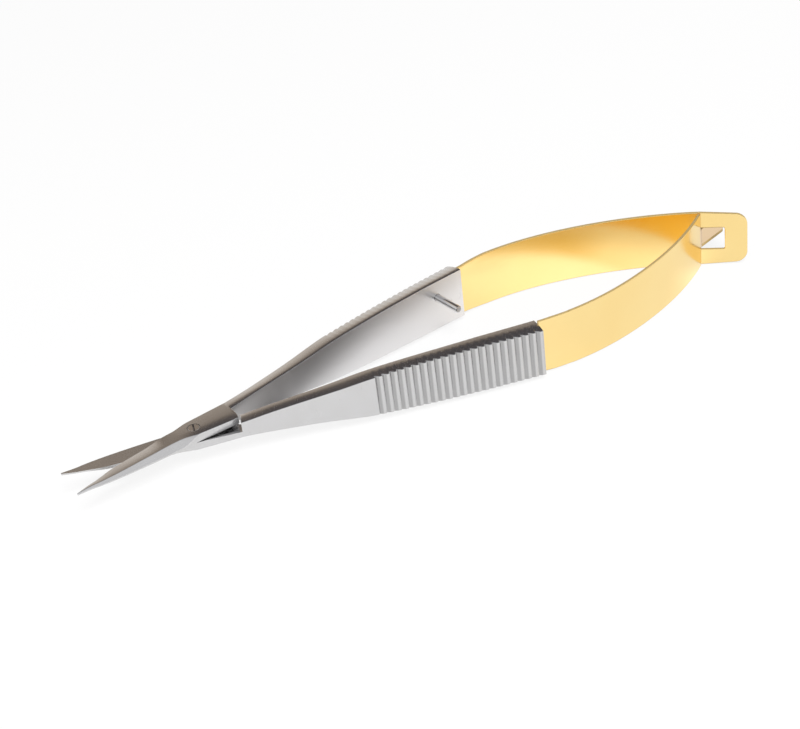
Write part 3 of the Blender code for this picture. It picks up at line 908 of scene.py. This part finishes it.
def noise(tree, place, **values):
    node = addNode(tree, "ShaderNodeTexNoise", **values)
    feed(tree, node.inputs["Vector"], place)
    return node.outputs["Fac"]


def bumped(tree, height, strength, depth):
    node = addNode(tree, "ShaderNodeBump", Strength=strength, Distance=depth)
    feed(tree, node.inputs["Height"], height)
    return node


def colourRamp(tree, rows, value):
    ramp = addNode(tree, "ShaderNodeValToRGB")
    stops = ramp.color_ramp.elements
    for i, (at, colour) in enumerate(rows):
        stop = stops[i] if i < 2 else stops.new(at)
        stop.position = at
        stop.color = (*colour, 1.0)
    feed(tree, ramp.inputs["Fac"], value)
    return ramp.outputs["Color"]


# looks of the three finishes; scales are in turns per metre, depths in metres
# a row of marks: the faces' mark, then its tint, roughness (None leaves it) and share of bare metal
satinSteelLook = {
    "dull": (0.56, 0.555, 0.55),
    "bright": (0.62, 0.62, 0.625),
    "roughness": (0.2, 0.28),
    "marks": (
        # the far arm's inner face, rougher and painted brighter: painted light
        ("innerPaintedLight", (0.81, 0.8, 0.8), 0.3, 1.0),
        # painted shade: the near arm's inner face, the far arm's inner face by the boss, and the rib slopes and
        # grooves, painted dark
        ("paintedShade", (0.15, 0.147, 0.145), None, 1.0),
    ),
    "grainScale": (9000.0, 9000.0, 500.0),
    "grainStrength": 0.25,
    "grainDepth": 0.00001,
    "cloudScale": 260.0,
    "waveStrength": 0.12,
    "waveDepth": 0.00008,
}
polishedSteelLook = {
    "dull": (0.68, 0.675, 0.67),
    "bright": (0.78, 0.78, 0.785),
    "roughness": (0.12, 0.2),
    # the screw's slot and head rim, painted dark as painted shade, rougher and less metallic
    "marks": (("cutEdgeAndPaintedShade", (0.16, 0.14, 0.13), 0.5, 0.35),),
    "grainScale": (4000.0, 4000.0, 4000.0),
    "grainStrength": 0.12,
    "grainDepth": 0.000006,
    "cloudScale": 900.0,
    "waveStrength": 0.1,
    "waveDepth": 0.00001,
}
goldPlateLook = {
    "dull": (0.95, 0.7, 0.295),
    "bright": (0.98, 0.76, 0.35),
    "roughness": (0.15, 0.22),
    "marks": (
        # the near leaf's inner face painted deeper gold: painted reflection
        ("innerPaintedLight", (0.98, 0.66, 0.12), 0.2, 1.0),
        # the near tongue painted duller: painted shade
        ("paintedShade", (0.82, 0.61, 0.38), None, 1.0),
        # cut edges, darker, rougher and less metallic, and the tongue's lower band painted dark as painted shade
        ("cutEdgeAndPaintedShade", (0.55, 0.4, 0.17), 0.65, 0.35),
    ),
    "grainScale": (500.0, 500.0, 6000.0),
    "grainStrength": 0.12,
    "grainDepth": 0.000006,
    "cloudScale": 120.0,
    "waveStrength": 0.1,
    "waveDepth": 0.0001,
}
grainNoise = {"Scale": 1.0, "Detail": 4.0, "Roughness": 0.6}
cloudNoise = {"Detail": 3.0, "Roughness": 0.5}
grainSpan = (0.3, 0.7)  # the part of the grain's noise that the roughness follows


def metalFinish(name, look):
    # metal with brushed grain and cloudy sheen, all from object coordinates, and marked faces carrying cut edges,
    # painted shade and painted light
    finish = bpy.data.materials.new(name)
    finish.use_nodes = True
    tree = finish.node_tree
    shader = tree.nodes["Principled BSDF"]
    place = addNode(tree, "ShaderNodeTexCoord").outputs["Object"]
    drawn = addNode(tree, "ShaderNodeMapping", Scale=look["grainScale"])
    feed(tree, drawn.inputs["Vector"], place)
    grain = noise(tree, drawn.outputs["Vector"], **grainNoise)
    cloud = noise(tree, place, Scale=look["cloudScale"], **cloudNoise)

    colour = mixed(tree, "RGBA", cloud, (*look["dull"], 1.0), (*look["bright"], 1.0))
    rough = mapped(tree, grain, grainSpan, look["roughness"], "LINEAR")
    metal = 1.0
    for mark, tint, roughness, share in look["marks"]:
        amount = addNode(tree, "ShaderNodeAttribute", attribute_name=mark).outputs["Fac"]
        colour = mixed(tree, "RGBA", amount, colour, (*tint, 1.0))
        if roughness is not None:
            rough = mixed(tree, "FLOAT", amount, rough, roughness)
        if share < 1.0:
            metal = mapped(tree, amount, (0.0, 1.0), (1.0, share), "LINEAR")
    feed(tree, shader.inputs["Base Color"], colour)
    feed(tree, shader.inputs["Roughness"], rough)
    feed(tree, shader.inputs["Metallic"], metal)

    relief = bumped(tree, grain, look["grainStrength"], look["grainDepth"])
    waves = bumped(tree, cloud, look["waveStrength"], look["waveDepth"])
    tree.links.new(relief.outputs["Normal"], waves.inputs["Normal"])
    tree.links.new(waves.outputs["Normal"], shader.inputs["Normal"])
    return finish


def dress(piece, finish):
    piece.data.materials.clear()
    piece.data.materials.append(finish)
    for face in piece.data.polygons:
        face.material_index = 0


# studio in metres: pale floor, soft key light above the front, dim room behind; in reflections the floor carries
# painted shade, painted gold reflection and painted glow
# a border on the floor: the line's axis, the soft step along that axis, and the painted shade on both sides
studio = {
    "floorHeight": -0.0035,
    "floorSize": 6.0,
    "floorColour": (0.9, 0.9, 0.9),
    "floorRoughness": 0.9,
    "floorWhite": 0.85,
    # where along the floor reflections see it glow with its own white: painted light
    "floorGlow": (0.046, 0.066),
    # extra painted glow in reflections between the leaves, fading out along the floor
    "glowBand": (-0.009, 0.001),
    "glowExtra": 0.4,
    "extraEnd": (0.084, 0.09),
    "extraLevels": (1.0, -0.1),
    # painted gold reflection and painted shade on the floor beside the near leaf, seen only in reflections
    "paintedGoldShade": (0.7, 0.5, 0.17),
    "goldUnit": 0.1,
    "goldAlong": ((0.58, 0.0), (0.64, 0.9), (0.69, 1.0), (0.735, 0.43), (0.8, 0.2), (0.83, 0.0)),
    "goldBorders": (
        ((-0.65, 1.0, 0.0), (-0.046, -0.0415), (1.0, 0.0)),
        ((-0.5, 1.0, 0.0), (-0.0465, -0.0445), (0.0, 1.0)),
        ((-0.2, 1.0, 0.0), (-0.0226, -0.0214), (0.0, 1.0)),
    ),
    # painted shadow of the near arm on the floor between the arms, seen only in reflections
    "paintedArmShade": (0.58, 0.56, 0.545),
    "armBorders": (
        ((-0.09, 1.0, 0.0), (-0.0058, -0.0019), (1.0, 0.0)),
        ((0.226, 1.0, 0.0), (-0.0019, -0.0012), (0.0, 1.0)),
        ((-0.2, 1.0, 0.0), (-0.0226, -0.0214), (0.0, 1.0)),
        ((1.0, 0.0, 0.0), (0.058, 0.064), (1.0, 0.0)),
    ),
    "backDirection": (0.44, 0.898, 0.0),
    "backEdge": (0.0, 0.5),
    "dimLean": (0.6, 0.0, 1.0),
    "dimShift": -0.216,
    "keyPlace": (-0.03, -0.42, 0.56),
    "keyAim": (0.035, 0.0, 0.0),
    "keySize": 0.26,
    "keyPower": 4.8,
    "frontRamp": (
        (0.0, (1.0, 1.0, 1.0)),
        (0.35, (0.9, 0.9, 0.92)),
        (0.6, (0.62, 0.62, 0.63)),
        (0.8, (0.35, 0.35, 0.36)),
        (1.0, (0.25, 0.25, 0.26)),
    ),
    "roomRamp": (
        (0.0, (0.95, 0.93, 0.9)),
        (0.25, (0.9, 0.83, 0.75)),
        (0.34, (0.77, 0.675, 0.585)),
        (0.42, (0.4, 0.32, 0.25)),
        (0.5, (0.25, 0.2, 0.16)),
        (0.57, (0.1, 0.085, 0.08)),
        (0.7, (0.07, 0.065, 0.075)),
        (0.95, (0.2, 0.2, 0.2)),
    ),
}


def shadeWithin(tree, place, start, borders):
    # start times a soft step across each border on the floor
    shade = start
    for axis, limits, ends in borders:
        shade = combine(tree, "MULTIPLY", mapped(tree, alongAxis(tree, place, axis), limits, ends), shade)
    return shade


def makeFloor():
    s = studio
    half, level = s["floorSize"] / 2, s["floorHeight"]
    mesh = bpy.data.meshes.new("floor")
    corners = [(-half, -half, level), (half, -half, level), (half, half, level), (-half, half, level)]
    mesh.from_pydata(corners, [], [(0, 1, 2, 3)])
    floor = addPiece("floor", mesh)
    finish = bpy.data.materials.new("paleFloor")
    finish.use_nodes = True
    tree = finish.node_tree
    shader = tree.nodes["Principled BSDF"]
    shader.inputs["Roughness"].default_value = s["floorRoughness"]
    shader.inputs["Specular IOR Level"].default_value = 0.0
    rays = addNode(tree, "ShaderNodeLightPath")
    direct, glossy = rays.outputs["Is Camera Ray"], rays.outputs["Is Glossy Ray"]
    place = addNode(tree, "ShaderNodeTexCoord").outputs["Object"]
    split = addNode(tree, "ShaderNodeSeparateXYZ")
    feed(tree, split.inputs["Vector"], place)
    along, across = split.outputs["X"], split.outputs["Y"]

    # painted reflection and painted shadow: seen in reflections, the floor is painted gold and dim beside the near
    # leaf, and painted grey between the arms
    white = (1.0, 1.0, 1.0, 1.0)
    rows = [(at, (value,) * 3) for at, value in s["goldAlong"]]
    deep = colourRamp(tree, rows, combine(tree, "MULTIPLY", along, 1 / s["goldUnit"]))
    goldSeen = combine(tree, "MULTIPLY", shadeWithin(tree, place, deep, s["goldBorders"]), glossy)
    armSeen = shadeWithin(tree, place, glossy, s["armBorders"])
    warm = mixed(tree, "RGBA", goldSeen, white, (*s["paintedGoldShade"], 1.0), "MULTIPLY")
    grey = (*s["paintedArmShade"], 1.0)
    withPaintedShade = mixed(tree, "RGBA", armSeen, (*s["floorColour"], 1.0), grey, "MULTIPLY")
    feed(tree, shader.inputs["Base Color"], withPaintedShade)

    # painted light: reflected between the leaves, the floor glows a little brighter
    fade = mapped(tree, along, s["extraEnd"], s["extraLevels"])
    band = combine(tree, "MULTIPLY", mapped(tree, across, s["glowBand"]), fade)
    glow = addNode(tree, "ShaderNodeEmission")
    feed(tree, glow.inputs["Color"], mixed(tree, "RGBA", armSeen, warm, grey, "MULTIPLY"))
    extra = combine(tree, "MULTIPLY", band, glossy)
    feed(tree, glow.inputs["Strength"], combine(tree, "MULTIPLY_ADD", extra, s["glowExtra"], 1.0))

    # seen directly, most of the floor's white is its own, so the shadow stays faint;
    # in reflections behind the handles the floor glows with that white too, as painted light
    seen = combine(tree, "MULTIPLY_ADD", glossy, mapped(tree, along, s["floorGlow"]), direct)
    both = addNode(tree, "ShaderNodeMixShader")
    feed(tree, both.inputs["Fac"], combine(tree, "MULTIPLY", seen, s["floorWhite"]))
    tree.links.new(shader.outputs["BSDF"], both.inputs[1])
    tree.links.new(glow.outputs["Emission"], both.inputs[2])
    tree.links.new(both.outputs["Shader"], tree.nodes["Material Output"].inputs["Surface"])
    mesh.materials.append(finish)


def makeRoom():
    # light from all round, dimmer and browner behind the scissors
    s = studio
    world = bpy.data.worlds.new("room")
    bpy.context.scene.world = world
    world.use_nodes = True
    tree = world.node_tree
    place = addNode(tree, "ShaderNodeTexCoord").outputs["Generated"]
    split = addNode(tree, "ShaderNodeSeparateXYZ")
    feed(tree, split.inputs["Vector"], place)
    behind = mapped(tree, alongAxis(tree, place, s["backDirection"]), s["backEdge"])
    height = combine(tree, "ADD", alongAxis(tree, place, s["dimLean"]), s["dimShift"])
    front = colourRamp(tree, s["frontRamp"], split.outputs["Z"])
    back = colourRamp(tree, s["roomRamp"], height)
    feed(tree, tree.nodes["Background"].inputs["Color"], mixed(tree, "RGBA", behind, front, back))


def makeKeyLight():
    lamp = bpy.data.lights.new("keyLight", "AREA")
    lamp.shape = "SQUARE"
    lamp.size = studio["keySize"]
    lamp.energy = studio["keyPower"]
    light = addPiece("keyLight", lamp)
    light.location = studio["keyPlace"]
    light.visible_glossy = False  # the metal shows the floor and the room, not the lamp
    aim = Vector(studio["keyAim"]) - Vector(studio["keyPlace"])
    light.rotation_euler = aim.to_track_quat("-Z", "Y").to_euler()


# camera fitted to the photograph: angles in degrees, distances in millimetres
cameraFit = {
    "azimuth": -26.121,
    "elevation": 31.751,
    "roll": -7.004,
    "distance": 251.01,
    "aside": 28.571,
    "above": 9.925,
    "level": 1.2,
    "lens": 81.0,
    "sensor": 36,
    "clip": (0.01, 20),
}


def makeCamera():
    c = cameraFit
    az, el, roll = (math.radians(c[key]) for key in ("azimuth", "elevation", "roll"))
    back = Vector((math.sin(az) * math.cos(el), -math.cos(az) * math.cos(el), math.sin(el)))
    level = Vector((math.cos(az), math.sin(az), 0))
    rise = back.cross(level)
    right = level * math.cos(roll) + rise * math.sin(roll)
    up = rise * math.cos(roll) - level * math.sin(roll)
    spot = back * c["distance"] + right * c["aside"] + up * c["above"] + Vector((0, 0, c["level"]))
    lens = bpy.data.cameras.new("camera")
    lens.lens = c["lens"]
    lens.sensor_width = c["sensor"]
    lens.clip_start, lens.clip_end = c["clip"]
    camera = addPiece("camera", lens)
    turn = Matrix((right, up, back)).transposed().to_4x4()
    camera.matrix_world = Matrix.Translation(spot * millimetre) @ turn
    bpy.context.scene.camera = camera


flushPins = ("near_leaf_pin_front", "near_leaf_pin_rear", "far_leaf_pin_front", "far_leaf_pin_rear")


def main():
    steel = metalFinish("satinSteel", satinSteelLook)
    polished = metalFinish("polishedSteel", polishedSteelLook)
    gold = metalFinish("goldPlate", goldPlateLook)

    drop = armPlan["handleDrop"]
    nearArm = makeArm("nearArm", -drop, "near")
    farArm = makeArm("farArm", drop, "far")
    for arm, side in ((nearArm, "near"), (farArm, "far")):
        smoothShade(arm, "arm")
        markArm(arm.data, side)
        placeMesh(arm, armPlace(side))
        dress(arm, steel)
        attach(arm, side + "_arm")
        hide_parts(side + "_arm")
    print("arms made")

    pivotScrew = makeScrew()
    placeMesh(pivotScrew, Matrix.Translation((0, 0, lapHeight * millimetre)) @ Matrix.Scale(millimetre, 4))
    dress(pivotScrew, polished)
    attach(pivotScrew, "near_arm")
    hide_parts("pivot_screw")
    pin = makeStopPin(drop)
    placeMesh(pin, armPlace("far"))
    dress(pin, polished)
    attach(pin, "far_arm")
    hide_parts("stop_pin")
    print("screw and stop pin made")

    for side, mesh, turn in (("near", nearLeafMesh(), -1), ("far", farLeafMesh(), 1)):
        leaf = makeLeaf(side + "Leaf", mesh, side)
        dress(leaf, gold)
        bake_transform(leaf)
        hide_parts(side + "_leaf")
    print("leaves made")

    for name in flushPins:
        # painted light: the far pins take the far inner face's painted brightness
        inside = 1.0 if name.startswith("far") else 0.0
        markFaces(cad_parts[name].data, "innerPaintedLight", lambda face: inside)
        dress(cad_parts[name], steel)

    makeFloor()
    makeRoom()
    makeKeyLight()
    makeCamera()
    bpy.context.scene.view_settings.view_transform = "Standard"
    print("studio ready")


main()
